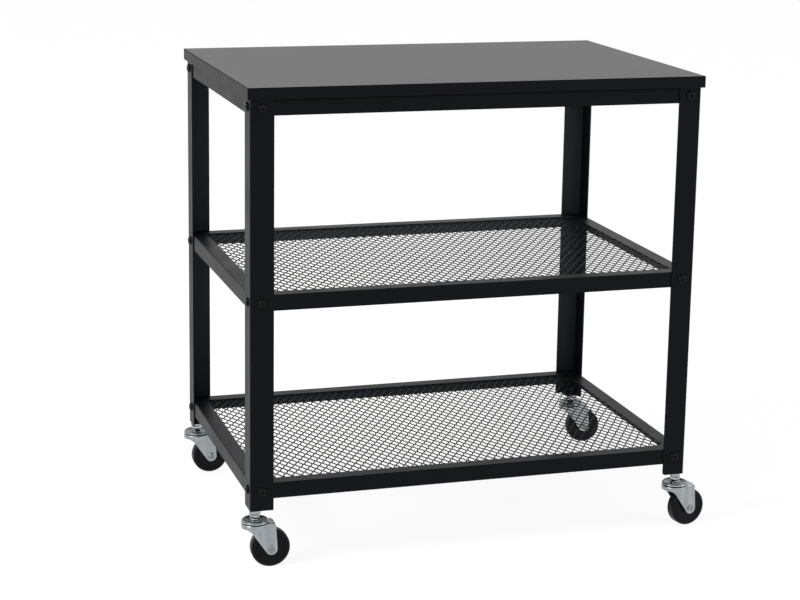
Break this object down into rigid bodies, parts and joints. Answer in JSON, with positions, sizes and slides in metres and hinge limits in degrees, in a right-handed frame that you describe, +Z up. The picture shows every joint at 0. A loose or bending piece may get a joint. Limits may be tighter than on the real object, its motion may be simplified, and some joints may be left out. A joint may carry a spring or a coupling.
{
  "type": "kitchen cart",
  "caption": "Rolling kitchen cart: laminate board over a black bolted angle frame with two expanded-mesh shelves, on swivel casters.",
  "frame": {"origin": "on the floor under the middle of the whole cart, trailing wheels included; the middle of the board is 13.4 mm from it towards -X", "axes": "+Z up, +X to the right seen from the front along the 600 mm width, +Y to the back along the 400 mm depth"},
  "size_m": [0.6378, 0.411, 0.61],
  "materials": {
    "board_laminate": "matte grey-black laminate on board",
    "frame_black": "matte black powder coat",
    "mesh_black": "matte black powder coat on expanded steel",
    "screw_black": "black oxide",
    "zinc": "bright zinc plate",
    "ball_steel": "polished",
    "wheel_black": "matte black, moulded"
  },
  "bodies": {
    "cart": {"top_board": "board_laminate", "leg_front_left": "frame_black", "foot_plate_front_left": "frame_black", "leg_front_right": "frame_black", "foot_plate_front_right": "frame_black", "leg_back_right": "frame_black", "foot_plate_back_right": "frame_black", "leg_back_left": "frame_black", "foot_plate_back_left": "frame_black", "bottom_rail_front": "frame_black", "bottom_rail_back": "frame_black", "bottom_rail_left": "frame_black", "bottom_rail_right": "frame_black", "middle_rail_front": "frame_black", "middle_rail_back": "frame_black", "middle_rail_left": "frame_black", "middle_rail_right": "frame_black", "top_rail_front": "frame_black", "top_rail_back": "frame_black", "top_rail_left": "frame_black", "top_rail_right": "frame_black", "bottom_mesh": "mesh_black", "middle_mesh": "mesh_black", "frame_screws": "screw_black", "frame_nuts": "screw_black", "board_screws": "zinc", "caster_lock_nuts": "zinc", "caster_stem_front_left": "zinc", "caster_dish_front_left": "zinc", "caster_balls_front_left": "ball_steel", "caster_retainer_front_left": "zinc", "caster_stem_front_right": "zinc", "caster_dish_front_right": "zinc", "caster_balls_front_right": "ball_steel", "caster_retainer_front_right": "zinc", "caster_stem_back_right": "zinc", "caster_dish_back_right": "zinc", "caster_balls_back_right": "ball_steel", "caster_retainer_back_right": "zinc", "caster_stem_back_left": "zinc", "caster_dish_back_left": "zinc", "caster_balls_back_left": "ball_steel", "caster_retainer_back_left": "zinc"},
    "swivel_front_left": {"caster_fork_front_left": "zinc", "caster_axle_front_left": "zinc"},
    "wheel_front_left": {"caster_wheel_front_left": "wheel_black"},
    "swivel_front_right": {"caster_fork_front_right": "zinc", "caster_axle_front_right": "zinc"},
    "wheel_front_right": {"caster_wheel_front_right": "wheel_black"},
    "swivel_back_right": {"caster_fork_back_right": "zinc", "caster_axle_back_right": "zinc"},
    "wheel_back_right": {"caster_wheel_back_right": "wheel_black"},
    "swivel_back_left": {"caster_fork_back_left": "zinc", "caster_axle_back_left": "zinc"},
    "wheel_back_left": {"caster_wheel_back_left": "wheel_black"}
  },
  "joints": [
    {"name": "swivel_front_left_turn", "type": "hinge", "parent": "cart", "child": "swivel_front_left", "pos_m": [-0.30137, -0.188, 0.0586], "axis": [0, 0, 1], "continuous": true},
    {"name": "wheel_front_left_spin", "type": "hinge", "parent": "swivel_front_left", "child": "wheel_front_left", "pos_m": [-0.28238, -0.18866, 0.025], "axis": [0.0349, 0.9994, 0], "continuous": true},
    {"name": "swivel_front_right_turn", "type": "hinge", "parent": "cart", "child": "swivel_front_right", "pos_m": [0.27463, -0.188, 0.0586], "axis": [0, 0, 1], "continuous": true},
    {"name": "wheel_front_right_spin", "type": "hinge", "parent": "swivel_front_right", "child": "wheel_front_right", "pos_m": [0.29328, -0.18437, 0.025], "axis": [-0.1908, 0.9816, 0], "continuous": true},
    {"name": "swivel_back_right_turn", "type": "hinge", "parent": "cart", "child": "swivel_back_right", "pos_m": [0.27463, 0.188, 0.0586], "axis": [0, 0, 1], "continuous": true},
    {"name": "wheel_back_right_spin", "type": "hinge", "parent": "swivel_back_right", "child": "wheel_back_right", "pos_m": [0.29356, 0.18634, 0.025], "axis": [0.0872, 0.9962, 0], "continuous": true},
    {"name": "swivel_back_left_turn", "type": "hinge", "parent": "cart", "child": "swivel_back_left", "pos_m": [-0.30137, 0.188, 0.0586], "axis": [0, 0, 1], "continuous": true},
    {"name": "wheel_back_left_spin", "type": "hinge", "parent": "swivel_back_left", "child": "wheel_back_left", "pos_m": [-0.28238, 0.18866, 0.025], "axis": [-0.0349, 0.9994, 0], "continuous": true}
  ]
}
